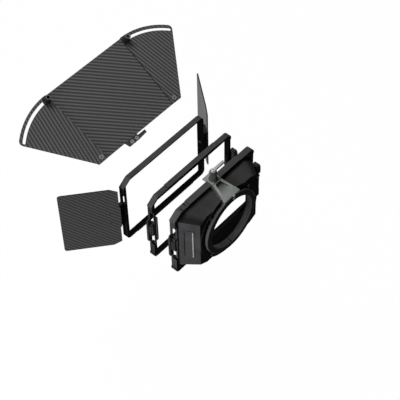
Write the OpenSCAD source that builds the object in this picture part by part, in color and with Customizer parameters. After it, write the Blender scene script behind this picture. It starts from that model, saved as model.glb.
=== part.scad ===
// Modular clamp-on matte box for 4 x 5.65 inch filters, shown drawn apart along the lens axis.
// Millimetres. Z is up, -Y points at the scene, +X is the operator's left.
// The origin is the middle of the lens bore at its rear face.

/* [Stages] */
// Outer width of the flange and of both stage frames
box_w = 156; // [140:1:180]
// Outer height of the flange and of both stage frames
box_h = 112.3; // [100:0.1:130]
// Radius of the round corners
corner_r = 7; // [3:0.5:12]
// Width of the cut corner at the top left
cut_w = 13; // [8:0.5:18]
// Height of the cut corner at the top left
cut_h = 9.5; // [6:0.5:14]
// Depth of the body flange along the lens axis
flange_d = 9; // [7:0.5:14]
// Depth of each stage frame along the lens axis
stage_d = 7.7; // [6:0.1:12]
// Width of the side posts of the flange and the filter stage
post_w = 6.5; // [5:0.1:9]
// Height of the top and bottom bars of the flange and the filter stage
bar_h = 4.25; // [3.5:0.05:7]
// Width of the side posts of the front frame
front_post_w = 5; // [4:0.1:8]
// Height of the top and bottom bars of the front frame
front_bar_h = 2.35; // [1.8:0.05:6]
// Space drawn between the flange and the filter stage
stage_gap = 29.7; // [0.3:0.1:60]
// Space drawn between the filter stage and the front frame
front_gap = 40.2; // [0.3:0.1:60]

/* [Rear hood] */
// Depth of the tapered hood behind the flange
hood_d = 23; // [15:1:40]
// Wall of the hood
hood_wall = 2; // [1.5:0.1:3]
// Width of the round rear plate around the clamp ring
plate_rim = 8; // [6:0.5:10]

/* [Lens clamp] */
// Bore that closes on the lens front
lens_bore_r = 40; // [30:0.5:42]
// Wall of the clamp ring
ring_wall = 8; // [6:0.5:10]
// Length of the clamp ring behind the rear plate
ring_len = 5; // [4:0.5:10]

/* [Top flag] */
// Upward tilt of the top flag
flag_tilt = 28.5; // [0:0.5:45]
// Length of the top flag panel from rear to front
panel_len = 111.8; // [80:1:140]
// Space drawn between the flange and the rear edge of the top flag
top_gap = 117.75; // [60:0.05:150]
// Thickness of the carbon sheets
sheet_t = 1.6; // [1:0.1:3]
// Angle that each wing folds inwards
wing_fold = 39; // [20:1:45]

/* [Side flags] */
// Length of a side flag from its hinge outwards
side_flag_len = 77; // [50:1:100]
// Height of a side flag
side_flag_h = 111; // [80:1:120]
// Angle between the left flag and straight ahead
left_swing = 50; // [5:1:90]
// Angle between the right flag and straight ahead
right_swing = 39; // [5:1:90]

/* [Clearances] */
// Radial clearance of a turning pin
pin_fit = 0.05; // [0.02:0.01:0.1]
// Gap between faces that slide past each other
slide_gap = 0.3; // [0.2:0.05:0.6]

/* [Hidden] */
$fn = 96;
open_w = box_w - 2 * post_w;
open_h = box_h - 2 * bar_h;
front_open_w = box_w - 2 * front_post_w;
front_open_h = box_h - 2 * front_bar_h;
ring_r = lens_bore_r + ring_wall;
disc_r = ring_r + plate_rim;
disc_rear = -ring_len;
hood_rear = disc_rear - 1;
flange_rear = hood_rear - hood_d;
flange_front = flange_rear - flange_d;
stage_rear = flange_front - stage_gap;
stage_front = stage_rear - stage_d;
frame_rear = stage_front - front_gap;
frame_front = frame_rear - stage_d;
half_w = box_w / 2;
half_h = box_h / 2;
side_step = 1.2;
side_x = half_w - side_step;
hood_front_x = open_w / 2 - 0.5;
hood_front_z = open_h / 2 - 0.7;
hood_rear_x = disc_r - 0.3;
hood_rear_z = ring_r - 1.7;
corner_x = hood_front_x - 10.5;
corner_z = hood_front_z - 6.7;
bar_raise = 1.2;
bar_top = half_h + bar_raise;
latch_y = 6;
latch_x = side_x - 1;
latch_pin_r = 1;
catch_out = side_x + 7.4;
catch_top = 22.4;
toggle_r = 3.6;
toggle_x = -(side_x + toggle_r + slide_gap);
toggle_z = 1;
catch_low = toggle_z + toggle_r + slide_gap;
body_catch_y = [6.2, 16];
stage_catch_y = [4.6, 13.9];
knob_y = flange_front + 6.4;
head_x = 7.7;
head_top = bar_top + 4.25;
head_front = flange_front - 6;
arm_front = flange_front + 12;
arm_rear = -0.6;
arm_rear_x = 14.8;
arm_rear_top = ring_r + 3.4;
hub_r = 4.6;
hub_top = head_top + 17.4;
hinge_r = 2.7;
hinge_plate = 1.8;
hinge_x = half_w + hinge_plate + slide_gap + hinge_r;
hinge_y = frame_front + 4.3;
hinge_pin_r = 1.2;
hinge_screw_z = [-17.5, 8];
sheet_off = 4.8;
rivet_s = 13.8;
sheet_in = 1.8;
flag_rise = 9.27;
panel_w = box_w;
panel_v = 134.7;
pivot_r = 2;
pivot_u = panel_w / 2 - 8.5;
pivot_v = panel_v + 5.2;
slot_r = panel_len - 11;
nut_a = 2.5;
nut_u = pivot_u + slot_r * sin(nut_a);
nut_v = pivot_v + slot_r * cos(nut_a);
nut_h = 11;
wing_r = slot_r + 6.4;
wing_w0 = 0;
panel_top = wing_w0 - 0.2;
foot_u = 29;

// Shared shapes

module rounded_rect(w, h, r) {
  square([w - 2 * r, h], center = true);
  square([w, h - 2 * r], center = true);
  for (sx = [-1, 1], sz = [-1, 1]) translate([sx * (w / 2 - r), sz * (h / 2 - r)]) circle(r);
}

// Extrudes an outline drawn in X and Z from y0 to y1
module along_y(y0, y1) {
  translate([0, y1, 0]) rotate([90, 0, 0]) linear_extrude(y1 - y0) children();
}

// A rod along Y
module rod_y(x, z, y0, y1, r) {
  translate([x, y1, z]) rotate([90, 0, 0]) cylinder(h = y1 - y0, r = r);
}

// Everything beyond a plane through p whose outward normal is n
module beyond(p, n) {
  translate(p) rotate([0, -asin(n[2] / norm(n)), atan2(n[1], n[0])])
    translate([0, -150, -150]) cube(300);
}

// A slab given by two corners
module slab(a, b) {
  translate(a) cube(b - a);
}

// What is cut from the top left corner of a frame, moved in by t
module corner_cut(t) {
  translate(-t * [cut_h, cut_w] / norm([cut_h, cut_w])) polygon([
    [half_w + cut_w, half_h - 2 * cut_h], [half_w - 2 * cut_w, half_h + cut_h], [half_w + cut_w, half_h + cut_h]
  ]);
}

// Outline of a frame or of its opening, with the corner cut moved in by t
module frame_outline(w, h, r, t) {
  difference() {
    rounded_rect(w, h, r);
    corner_cut(t);
  }
}

// Frame blank; t is its wall at the cut corner
module frame_blank(y0, y1, ow, oh, t) {
  along_y(y0, y1) difference() {
    frame_outline(box_w, box_h, corner_r, 0);
    frame_outline(ow, oh, 2, t);
  }
}

// Recess along both side faces
module side_recess(y0, y1) {
  for (s = [-1, 1]) translate([s * (half_w + 5 - side_step), (y0 + y1) / 2, 0])
    cube([10, 40, box_h - 19.3], center = true);
}

// Grip ribs on the left end of a top bar
module top_ribs(y0, y1) {
  for (i = [0:3]) translate([half_w - 28.5 + i * 4, y0 + 0.6, half_h - 0.5]) cube([2, y1 - y0 - 1.2, 1]);
}

// Side pocket with two see-through windows, cut into the left post
module latch_pocket(y0, y1) {
  slab([side_x - 3.2, y0 + 3.2, -29], [half_w + 1, y1 + 1, 34]);
  slab([side_x - 16.8, y0 + 0.6, 11.6], [side_x - 1.8, y0 + 5.9, 29]);
  slab([side_x - 16.8, y0 + 0.6, -28], [side_x - 1.8, y0 + 5.9, -11.6]);
}

// Ears that carry the latch pin inside the pocket
module latch_ears(y0, y1) {
  for (s = [-1, 1]) translate([0, 0, s * 9.8]) difference() {
    translate([side_x - 1.5, (y0 + y1 + 2.5) / 2, 0]) cube([3.8, y1 - y0 - 3.9, 3], center = true);
    translate([latch_x, y0 + latch_y - 0.6, -3]) cylinder(h = 6, r = latch_pin_r);
  }
}

// Extrudes an outline drawn in Y and Z from x0 to x1
module along_x(x0, x1) {
  translate([x0, 0, 0]) rotate([90, 0, 90]) linear_extrude(x1 - x0) children();
}

// Side lever of a stage latch: blade, neck and a barrel that turns on the pin
module latch_lever(y0) {
  difference() {
    union() {
      along_x(side_x + 0.6, side_x + 4.2) polygon([
        [y0 - 0.2, -19.4], [y0 - 0.2, 13], [y0 + 1.8, 21], [y0 + 3.1, 21], [y0 + 3.1, -21], [y0 + 1, -21]
      ]);
      slab([side_x + 0.3, y0 + 2.9, -7.9], [side_x + 2.2, y0 + latch_y - 0.6, 7.9]);
      translate([latch_x, y0 + latch_y - 0.6, -7.9]) cylinder(h = 15.8, r = 1.9);
    }
    translate([latch_x, y0 + latch_y - 0.6, -10]) cylinder(h = 20, r = latch_pin_r + pin_fit);
    for (i = [0:3]) slab([side_x + 3.6, y0 + 0.2, -16 + i * 4], [side_x + 5.2, y0 + 2.4, -14.4 + i * 4]);
  }
}

module latch_pin(y0) {
  translate([latch_x, y0 + latch_y - 0.6, -11.3]) cylinder(h = 22.6, r = latch_pin_r);
}

// Catch block screwed to the right side, with a lug below it for the toggle. e = its ends behind y0
module catch_block(y0, y1, e) {
  difference() {
    union() {
      along_x(-catch_out, -side_x) polygon([
        [y0 + e[0], catch_low], [y0 + e[0], catch_top], [y0 + e[1] - 1.6, catch_top], [y0 + e[1], catch_top - 3],
        [y0 + e[1], catch_low + 3], [y0 + e[1] - 3, catch_low]
      ]);
      slab([toggle_x - toggle_r, y0 + e[0], toggle_z], [toggle_x + toggle_r, y0 + e[0] + 3.2, catch_low + 1]);
      rod_y(toggle_x, toggle_z, y0 + e[0], y0 + e[0] + 3.2, toggle_r);
    }
    slab([-side_x - slide_gap, y1, 0], [-side_x + 1, y1 + 20, 30]);
    rod_y(toggle_x, toggle_z, y0 - 1, y0 + 20, 1);
    for (z = [8.5, 17.5]) translate([-side_x + 1, y0 + e[0] + 1.5, z]) rotate([0, -90, 0]) {
      cylinder(h = 20, r = 0.92, $fn = 32);
      translate([0, 0, 6.9]) cylinder(h = 20, r = 1.75, $fn = 48);
    }
  }
}

module catch_screw_pair(y0, e) {
  for (z = [8.5, 17.5]) translate([-side_x - 7, y0 + e[0] + 1.5, z]) rotate([0, -90, 0]) cap_screw(0.9, 8.6, 1.7, 1.1);
}

// Hanging toggle bar with a ribbed thumb grip at its lower end
module toggle_bar(y0, f) {
  difference() {
    union() {
      rod_y(toggle_x, toggle_z, y0 + f + 3.5, y0 + f + 8.7, toggle_r);
      along_x(toggle_x - 2.4, toggle_x + 2.2) polygon([
        [y0 + f + 3.5, toggle_z], [y0 + f + 8.7, toggle_z], [y0 + f + 8.7, -24], [y0 + f + 9.3, -26],
        [y0 + f + 9.3, -36], [y0 + f + 8.3, -38.6], [y0 + f + 3.5, -38.6]
      ]);
    }
    rod_y(toggle_x, toggle_z, y0 - 1, y0 + 30, 1 + pin_fit);
    rod_y(toggle_x, toggle_z, y0 + f + 7.9, y0 + 30, 1.95);
    for (i = [0:3]) slab([toggle_x - 3, y0 + f + 8.8, -35 + i * 2.6], [toggle_x + 3, y0 + f + 10, -33.8 + i * 2.6]);
  }
}

module toggle_pin(y0, f) {
  rod_y(toggle_x, toggle_z, y0 + f + 0.3, y0 + f + 8.4, 1);
  rod_y(toggle_x, toggle_z, y0 + f + 8, y0 + f + 8.6, 1.8);
}

// Socket-head screw with its head top at z = 0, pointing down
module cap_screw(r, len, head_r, head_h) {
  difference() {
    union() {
      translate([0, 0, -head_h]) cylinder(h = head_h, r = head_r, $fn = 48);
      translate([0, 0, -head_h - len]) cylinder(h = len + 0.1, r = r, $fn = 32);
    }
    translate([0, 0, -head_h * 0.6]) cylinder(h = head_h, r = head_r * 0.45, $fn = 6);
  }
}

// Body: flange, tapered hood and lens clamp

module body_flange() {
  lip = [hood_front_x - 3, hood_front_z - 14.5, hood_front_x - 26.5, hood_front_z - 2.7];
  color("#2b2c2e") difference() {
    union() {
      difference() {
        union() {
          frame_blank(flange_front, flange_rear, open_w, open_h, 3);
          slab([28 - half_w, flange_front, half_h - 1], [half_w - 30, flange_rear, bar_top]);
          slab([28 - half_w, flange_front, -bar_top], [half_w - 28, flange_rear, 1 - half_h]);
          top_ribs(flange_front, flange_rear);
        }
        side_recess(flange_front, flange_rear);
        latch_pocket(flange_front, flange_rear);
      }
      latch_ears(flange_front, flange_rear);
      // Inner lip that the hood seats on
      along_y(flange_rear - 1.5, flange_rear) difference() {
        frame_outline(open_w + 2, open_h + 2, 2, 2);
        polygon([
          [lip[0], -lip[1]], [lip[0], lip[1]], [lip[2], lip[3]], [-lip[2], lip[3]], [-lip[0], lip[1]],
          [-lip[0], -lip[1]], [-lip[2], -lip[3]], [lip[2], -lip[3]]
        ]);
      }
    }
    along_y(flange_front - 1, flange_front + 1.2) frame_outline(open_w + 4, open_h + 3.8, 3, 1.6);
    for (sx = [-1, 1], sz = [-1, 1]) rod_y(sx * corner_x, sz * corner_z, flange_rear - 3, flange_rear + 1, 1.02);
    catch_holes(flange_front, body_catch_y);
    for (sx = [-1, 1]) translate([sx * 4.6, flange_front + 5.6, bar_top - 6.2]) cylinder(h = 30, r = 1.25, $fn = 32);
  }
}

// Screw holes for a catch block in the right post
module catch_holes(y0, e) {
  for (z = [8.5, 17.5]) translate([-side_x - 1, y0 + e[0] + 1.5, z]) rotate([0, 90, 0]) cylinder(h = 4, r = 0.92, $fn = 32);
}

// Solid inside the hood's tapered planes, moved in by t
module hood_solid(t, y0, y1) {
  side_n = [hood_d, hood_front_x - hood_rear_x, 0];
  roof_n = [0, hood_front_z - hood_rear_z, hood_d];
  edge_n = [0.41, 0.4, 0.82];
  difference() {
    slab([-half_w - 2, y0, -half_h - 4], [half_w + 2, y1, half_h + 4]);
    for (s = [-1, 1]) {
      mirror([s < 0 ? 1 : 0, 0, 0])
        beyond([hood_front_x, flange_rear, 0] - t * side_n / norm(side_n), side_n);
      mirror([0, 0, s < 0 ? 1 : 0])
        beyond([0, flange_rear, hood_front_z] - t * roof_n / norm(roof_n), roof_n);
      for (r = [-1, 1]) mirror([s < 0 ? 1 : 0, 0, 0]) mirror([0, 0, r < 0 ? 1 : 0])
        beyond([hood_front_x, flange_rear, hood_front_z - 7.7] - t * edge_n / norm(edge_n), edge_n);
    }
  }
}

module hood_shell() {
  color("#323336") difference() {
    hood_solid(0, flange_rear, hood_rear);
    difference() {
      hood_solid(hood_wall, flange_rear - 1, hood_rear - hood_wall);
      // Solid pads behind the corner screws
      for (sx = [-1, 1], sz = [-1, 1]) rod_y(sx * corner_x, sz * corner_z, flange_rear, flange_rear + 7, 3);
    }
    rod_y(0, 0, hood_rear - 10, hood_rear + 1, ring_r - 4 + 0.02);
    side_plate_pocket(1);
    side_plate_pocket(-1);
    for (a = [45, 135, 225, 315]) rotate([0, a, 0]) rod_y(ring_r + 3.5, 0, hood_rear - 5, hood_rear + 1, 1.02);
    for (sx = [-1, 1], sz = [-1, 1]) rod_y(sx * corner_x, sz * corner_z, flange_rear - 1, flange_rear + 4, 1.02);
  }
}

side_angle = atan2(hood_front_x - hood_rear_x, hood_d);

// Carries a shape lying in the side face: X along the taper, Y up, Z outwards
module on_side(s) {
  mirror([s < 0 ? 1 : 0, 0, 0]) translate([hood_front_x, flange_rear, 0])
    rotate([0, 0, side_angle]) rotate([90, 0, 90]) children();
}

module side_plate_pocket(s) {
  on_side(s) translate([6, -27, -0.8]) cube([14.6, 54, 3]);
}

module side_plate(s) {
  color("#3a3b3e") on_side(s) difference() {
    translate([6.1, -26.9, -0.8]) cube([14.4, 53.8, 1.4]);
    translate([6.9, -25, 0]) cube([0.9, 50, 2]);
    translate([17.4, -25, 0.2]) cube([1.4, 50, 2]);
  }
}

module side_plate_left() { side_plate(1); }

module side_plate_right() { side_plate(-1); }

module rear_plate() {
  color("#1d1d1f") difference() {
    union() {
      rod_y(0, 0, hood_rear, disc_rear, disc_r);
      // Collar that carries the clamp ring through the rear wall
      rod_y(0, 0, hood_rear - 3, hood_rear + 0.5, ring_r - 4);
    }
    rod_y(0, 0, hood_rear - 5, 1, lens_bore_r + 1);
    // Notch for the flag holder's arm
    slab([-arm_rear_x - 0.3, hood_rear - 4, hood_rear_z + 0.3], [arm_rear_x + 0.3, 5, disc_r + 10]);
    for (a = [45, 135, 225, 315]) rotate([0, a, 0]) rod_y(ring_r + 3.5, 0, hood_rear - 5, 1, 1.02);
  }
}

module lens_ring() {
  color("#3c3d40") difference() {
    union() {
      rod_y(0, 0, disc_rear, 0, ring_r);
      rod_y(0, 0, hood_rear - 3, disc_rear + 0.5, lens_bore_r + 0.98);
    }
    rod_y(0, 0, hood_rear - 10, 5, lens_bore_r);
    // Slit that lets the ring close on the lens, at the bottom
    slab([-0.6, hood_rear - 5, -ring_r - 9], [0.6, 5, -lens_bore_r + 10]);
    // Chamfer of the rear edge
    rotate([-90, 0, 0]) rotate_extrude() polygon([[ring_r - 1, 0.01], [ring_r + 1, 0.01], [ring_r + 1, -2]]);
  }
}

module light_seal() {
  color("#141415") difference() {
    rod_y(0, 0, hood_rear - 4.6, hood_rear - 3, ring_r - 4.2);
    rod_y(0, 0, hood_rear - 6, hood_rear - 2, lens_bore_r + 0.5);
  }
}

module ring_screws() {
  color("#8b8c8e") for (a = [45, 135, 225, 315]) rotate([0, a, 0])
    translate([ring_r + 3.5, disc_rear + 1.2, 0]) rotate([-90, 0, 0]) cap_screw(1, 5, 1.9, 1.2);
}

module flange_screws() {
  color("#8b8c8e") for (sx = [-1, 1], sz = [-1, 1]) translate([sx * corner_x, flange_rear - 2.9, sz * corner_z])
    rotate([90, 0, 0]) cap_screw(1, 5, 1.9, 1.4);
}

// Flag holder on top of the hood

module arm_outline() {
  polygon([
    [-head_x, arm_front], [head_x, arm_front], [arm_rear_x, arm_rear], [-arm_rear_x, arm_rear]
  ]);
}

module holder_bracket() {
  slope = atan2(head_top - 1.2 - arm_rear_top, arm_rear - arm_front);
  dish_front = arm_front + 1.6;
  color("#77807a") difference() {
    union() {
      // Head that receives the flag foot
      slab([-head_x, head_front, bar_top], [head_x, arm_front, head_top]);
      slab([-head_x, flange_rear, hood_front_z + 0.4], [head_x, arm_front, bar_top + 0.1]);
      difference() {
        translate([0, 0, hood_rear_z - 6.3]) linear_extrude(head_top - hood_rear_z + 12) arm_outline();
        beyond([0, arm_front, head_top - 1.2], [0, sin(slope), cos(slope)]);
        hood_solid(0, flange_rear - 5, hood_rear);
        slab([-40, hood_rear, hood_rear_z - 20], [40, disc_rear + 0.02, hood_rear_z + 0.4]);
        rod_y(0, 0, disc_rear, 5, ring_r + 0.02);
        slab([-40, disc_rear, hood_rear_z - 30], [40, 5, hood_rear_z + 0.4]);
      }
    }
    // Open pocket in front of the clamp screw
    slab([-5.4, head_front - 1, head_top - 3], [head_x + 1, knob_y - 7, head_top + 9]);
    // Dished recess with sloping floor
    difference() {
      translate([0, 0, head_top - 21]) linear_extrude(40) {
        polygon([
          [-5.6, dish_front + 2], [-3.6, dish_front], [3.6, dish_front], [5.6, dish_front + 2],
          [9.6, arm_rear - 8], [-9.6, arm_rear - 8]
        ]);
        for (s = [-1, 1]) translate([s * 3.6, dish_front + 2]) circle(2);
      }
      beyond([0, arm_front, head_top - 7], [0, -0.02, -1]);
    }
    translate([0, knob_y, head_top - 11.6]) cylinder(h = 20, r = 2.5);
    for (sx = [-1, 1]) translate([sx * 4.6, flange_front + 5.6, bar_top - 1]) cylinder(h = 1.8, r = 1.25);
  }
}

module bracket_screws() {
  color("#8b8c8e") for (sx = [-1, 1]) translate([sx * 4.6, flange_front + 5.6, bar_top - 5.2])
    cylinder(h = 6, r = 1.23, $fn = 32);
}

module ring_catch() {
  color("#9aa09b") difference() {
    union() {
      slab([-4, arm_rear, ring_r + 0.3], [-1, arm_rear + 1.8, arm_rear_top - 0.2]);
      slab([-4, 0.1, ring_r - 4], [-1, arm_rear + 1.8, ring_r + 0.4]);
    }
    translate([-2.5, 0.6, ring_r + 1.6]) rotate([-90, 0, 0]) cylinder(h = 3, r = 0.7, $fn = 32);
  }
}

module lever_hub() {
  color("#6f7872") difference() {
    union() {
      translate([0, knob_y, head_top + 0.05]) cylinder(h = 1.6, r = 6.2);
      translate([0, knob_y, head_top + 1]) cylinder(h = hub_top - head_top - 3.2, r = hub_r);
      translate([0, knob_y, bar_top + 0.3]) cylinder(h = 6, r = 2.45);
    }
    for (a = [0:15:345]) translate([0, knob_y, 0]) rotate([0, 0, a + 7.5])
      translate([hub_r + 0.25, 0, head_top + 4]) cylinder(h = 7, r = 0.55, $fn = 16);
    translate([0, knob_y, hub_top - 8.2]) cylinder(h = 10, r = 1.52);
  }
}

module lever_arm() {
  color("#8d948f") difference() {
    union() {
      translate([0, knob_y, hub_top - 2.2]) cylinder(h = 2.2, r = 3.6);
      translate([-20, knob_y + 1.9, 0]) rotate([90, 0, 0]) linear_extrude(3.8) polygon([
        [0, hub_top], [0, hub_top - 3.2], [15, hub_top - 3.2], [15, hub_top - 2.2], [18, hub_top - 2.2],
        [18, hub_top]
      ]);
    }
    translate([0, knob_y, head_top - 1.6]) cylinder(h = hub_top - head_top - 0.6, r = hub_r + 0.02);
    translate([0, knob_y, hub_top - 4]) cylinder(h = 6, r = 1.52);
  }
}

module lever_screw() {
  color("#b9bcbc") translate([0, knob_y, hub_top + 1.1]) cap_screw(1.5, 8, 2.6, 1.1);
}

module body_latch() { color("#3b3c3f") latch_lever(flange_front); }

module body_latch_pin() { color("#9a9b9d") latch_pin(flange_front); }

module body_catch() { color("#3b3c3f") catch_block(flange_front, flange_rear, body_catch_y); }

module body_catch_screws() { color("#8b8c8e") catch_screw_pair(flange_front, body_catch_y); }

module body_toggle() { color("#333437") toggle_bar(flange_front, body_catch_y[0]); }

module body_toggle_pin() { color("#9a9b9d") toggle_pin(flange_front, body_catch_y[0]); }

// Filter stage

module stage_frame() {
  color("#2b2c2e") difference() {
    union() {
      difference() {
        union() {
          frame_blank(stage_front, stage_rear, open_w, open_h, 3);
          slab([28 - half_w, stage_front, half_h - 1], [half_w - 33, stage_rear, bar_top]);
          slab([28 - half_w, stage_front, -bar_top], [half_w - 28, stage_rear, 1 - half_h]);
          top_ribs(stage_front, stage_rear);
        }
        side_recess(stage_front, stage_rear);
        latch_pocket(stage_front, stage_rear);
      }
      latch_ears(stage_front, stage_rear);
    }
    along_y(stage_front - 1, stage_front + 1.2) frame_outline(open_w + 4, open_h + 3.8, 3, 1.6);
    catch_holes(stage_front, stage_catch_y);
    for (s = [-1, 1]) for (z = [-6, 6]) translate([s * (open_w / 2 - 1.5), stage_front + 6, z])
      rotate([0, s * 90, 0]) cylinder(h = 3.2, r = 0.82, $fn = 24);
  }
}

// Filter guide on the inside of a post, with angled ends
module guide(s) {
  color("#1f2022") mirror([s < 0 ? 1 : 0, 0, 0]) difference() {
    translate([0, stage_rear + 1.4, 0]) rotate([90, 0, 0]) linear_extrude(4.3) polygon([
      [open_w / 2, -24], [open_w / 2, 24], [open_w / 2 - 2.5, 21.5], [open_w / 2 - 2.5, -21.5]
    ]);
    // The part behind the stage slides into the flange
    slab([open_w / 2 - slide_gap, stage_rear, -30], [open_w / 2 + 1, stage_rear + 5, 30]);
    for (z = [-6, 6]) translate([open_w / 2 - 3.5, stage_front + 6, z]) rotate([0, 90, 0])
      cylinder(h = 5, r = 0.82, $fn = 24);
  }
}

module guide_left() { guide(1); }

module guide_right() { guide(-1); }

module guide_screws() {
  color("#8b8c8e") for (s = [-1, 1]) for (z = [-6, 6]) translate([s * (open_w / 2 - 2.9), stage_front + 6, z])
    rotate([0, s * 90, 0]) {
      cylinder(h = 4.4, r = 0.8, $fn = 24);
      cylinder(h = 0.4, r = 1.4, $fn = 24);
    }
}

module stage_latch() { color("#3b3c3f") latch_lever(stage_front); }

module stage_latch_pin() { color("#9a9b9d") latch_pin(stage_front); }

module stage_catch() { color("#3b3c3f") catch_block(stage_front, stage_rear, stage_catch_y); }

module stage_catch_screws() { color("#8b8c8e") catch_screw_pair(stage_front, stage_catch_y); }

module stage_toggle() { color("#333437") toggle_bar(stage_front, stage_catch_y[0]); }

module stage_toggle_pin() { color("#9a9b9d") toggle_pin(stage_front, stage_catch_y[0]); }

// Front frame and side flags

module front_frame() {
  color("#2b2c2e") difference() {
    union() {
      frame_blank(frame_front, frame_rear, front_open_w, front_open_h, 2);
      top_ribs(frame_front, frame_rear);
      slab([24 - half_w, frame_front, -bar_top], [half_w - 20, frame_rear, 1 - half_h]);
    }
    // Pocket and window in the left post
    slab([half_w - 2.8, frame_front + 3, 18], [half_w + 1, frame_rear + 1, 34]);
    slab([front_open_w / 2 - 8, frame_front + 0.6, 13], [half_w - 2, frame_front + 5, 28]);
    for (s = [-1, 1]) for (z = hinge_screw_z) translate([s * (front_open_w / 2 - 1), hinge_y, z])
      rotate([0, s * 90, 0]) {
        cylinder(h = front_post_w + 3, r = 1.02, $fn = 32);
        cylinder(h = 2.15, r = 2.1, $fn = 32);
      }
  }
}

// Plate on the post with two ears that hold the hinge pin
module hinge_block(s) {
  color("#1b1b1d") mirror([s < 0 ? 1 : 0, 0, 0]) difference() {
    union() {
      slab([half_w, hinge_y - hinge_r, -20], [half_w + hinge_plate, hinge_y + 2.4, 20]);
      for (z = [-20, 15]) {
        slab([half_w + 1, hinge_y - hinge_r, z], [hinge_x, hinge_y + 2.4, z + 5]);
        translate([hinge_x, hinge_y, z]) cylinder(h = 5, r = hinge_r);
      }
    }
    translate([hinge_x, hinge_y, -30]) cylinder(h = 60, r = hinge_pin_r);
    for (z = hinge_screw_z) translate([half_w - 1, hinge_y, z]) rotate([0, 90, 0])
      cylinder(h = 2.5, r = 1.02, $fn = 32);
  }
}

module hinge_block_left() { hinge_block(1); }

module hinge_block_right() { hinge_block(-1); }

module hinge_pin_left() {
  color("#a2a3a5") translate([hinge_x, hinge_y, -20.6]) cylinder(h = 41.2, r = hinge_pin_r);
}

module hinge_pin_right() {
  color("#a2a3a5") translate([-hinge_x, hinge_y, -20.6]) cylinder(h = 41.2, r = hinge_pin_r);
}

module hinge_screws() {
  color("#8b8c8e") for (s = [-1, 1]) for (z = hinge_screw_z) translate([s * (front_open_w / 2 + 0.05), hinge_y, z])
    rotate([0, -s * 90, 0]) cap_screw(1, front_post_w + 0.2, 2.05, 1.1);
}

// Carries a shape into a side flag: X outwards from the hinge, Y across the sheet, Z up
module on_side_flag(s, swing) {
  mirror([s < 0 ? 1 : 0, 0, 0]) translate([hinge_x, hinge_y, 0]) rotate([0, 0, swing - 90]) children();
}

module flag_sheet(s, swing) {
  front = side_flag_len + sheet_in;
  half = side_flag_h / 2;
  color("#3f4042") on_side_flag(s, swing) translate([0, sheet_off + sheet_t / 2, 0]) rotate([90, 0, 0])
    linear_extrude(sheet_t) difference() {
      union() {
        polygon([
          [sheet_in, -half + 6], [sheet_in + 11, -half], [front - 4, -half], [front, -half + 4], [front, half - 4],
          [front - 4, half], [sheet_in + 11, half], [sheet_in, half - 6]
        ]);
        for (z = [-1, 1]) translate([front - 4, z * (half - 4)]) circle(4);
        // Tongue that reaches over the hinge
        translate([sheet_in - 1.4, -20]) square([3, 40]);
      }
      for (z = [-9, 9]) translate([rivet_s, z]) circle(1.22, $fn = 32);
    }
}

module side_flag_left() { flag_sheet(1, left_swing); }

module side_flag_right() { flag_sheet(-1, right_swing); }

// Clip that turns on the hinge pin and carries the sheet on its stepped leaf
module flag_clip(s, swing) {
  leaf = sheet_off - sheet_t / 2;
  color("#1b1b1d") on_side_flag(s, swing) difference() {
    union() {
      translate([0, 0, -14.7]) cylinder(h = 29.4, r = hinge_r);
      slab([-0.6, 0, -14.7], [2.5, leaf, 14.7]);
      slab([0, leaf - 1.8, -14.7], [rivet_s + 5, leaf, 14.7]);
    }
    translate([0, 0, -20]) cylinder(h = 40, r = hinge_pin_r + pin_fit);
    for (z = [-9, 9]) translate([rivet_s, leaf + 1, z]) rotate([90, 0, 0]) cylinder(h = 8, r = 1.22, $fn = 32);
  }
}

module flag_clip_left() { flag_clip(1, left_swing); }

module flag_clip_right() { flag_clip(-1, right_swing); }

module clip_rivets(s, swing) {
  color("#3a3a3c") on_side_flag(s, swing) for (z = [-9, 9]) translate([rivet_s, sheet_off + sheet_t / 2, z]) rotate([90, 0, 0]) {
    cylinder(h = sheet_t + 2, r = 1.2, $fn = 32);
    translate([0, 0, sheet_t + 1.8]) cylinder(h = 0.8, r = 2.2, $fn = 48);
  }
}

module clip_rivets_left() { clip_rivets(1, left_swing); }

module clip_rivets_right() { clip_rivets(-1, right_swing); }

// Top flag. Its plane coordinates run across (u) and up the tilt (v)

module on_flag() {
  translate([0, flange_front - top_gap, half_h + flag_rise]) rotate([-flag_tilt, 0, 0]) rotate([0, 0, 180])
    translate([0, -panel_v, 0]) children();
}

module flag_panel() {
  color("#47484a") on_flag() difference() {
    translate([0, 0, panel_top - 2]) linear_extrude(2) difference() {
      polygon([
        [-panel_w / 2, panel_v], [panel_w / 2, panel_v], [panel_w / 2, panel_v + panel_len - 5],
        [panel_w / 2 - 5, panel_v + panel_len], [-panel_w / 2 + 5, panel_v + panel_len],
        [-panel_w / 2, panel_v + panel_len - 5]
      ]);
      for (s = [-1, 1]) translate([s * pivot_u, pivot_v]) circle(pivot_r + 0.02);
      for (s = [-1, 1]) translate([s * nut_u, nut_v]) circle(1.72);
    }
    // Blind holes for the foot's rivets
    for (u = [12, 20.8]) translate([-u, panel_v + 5, panel_top - 3]) cylinder(h = 2.3, r = 1.22);
  }
}

module flag_foot() {
  color("#2a2b2d") on_flag() difference() {
    union() {
      translate([0, 0, panel_top - 3.4]) linear_extrude(4.2) polygon([
        [-foot_u, 134.4], [-foot_u + 2.5, 127.2], [-9, 127.2], [4.9, 128.4], [4.9, 132.6], [-8, 132.6], [-8, 134.4]
      ]);
      translate([0, 0, panel_top - 3.4]) linear_extrude(1.4) polygon([
        [-foot_u, 134], [-8, 134], [-8, 143], [-foot_u, 143]
      ]);
    }
    for (u = [12, 20.8]) translate([-u, panel_v + 5, -10]) cylinder(h = 12, r = 1.22);
    for (u = [12, 20.8]) translate([-u, 130.4, panel_top - 0.4]) cylinder(h = 12, r = 2.75);
    for (u = [12, 20.8]) translate([-u, 130.4, -10]) cylinder(h = 12, r = 1.22);
    translate([-6, 130, panel_top + 0.3]) cube([9, 1.2, 2]);
  }
}

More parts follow.
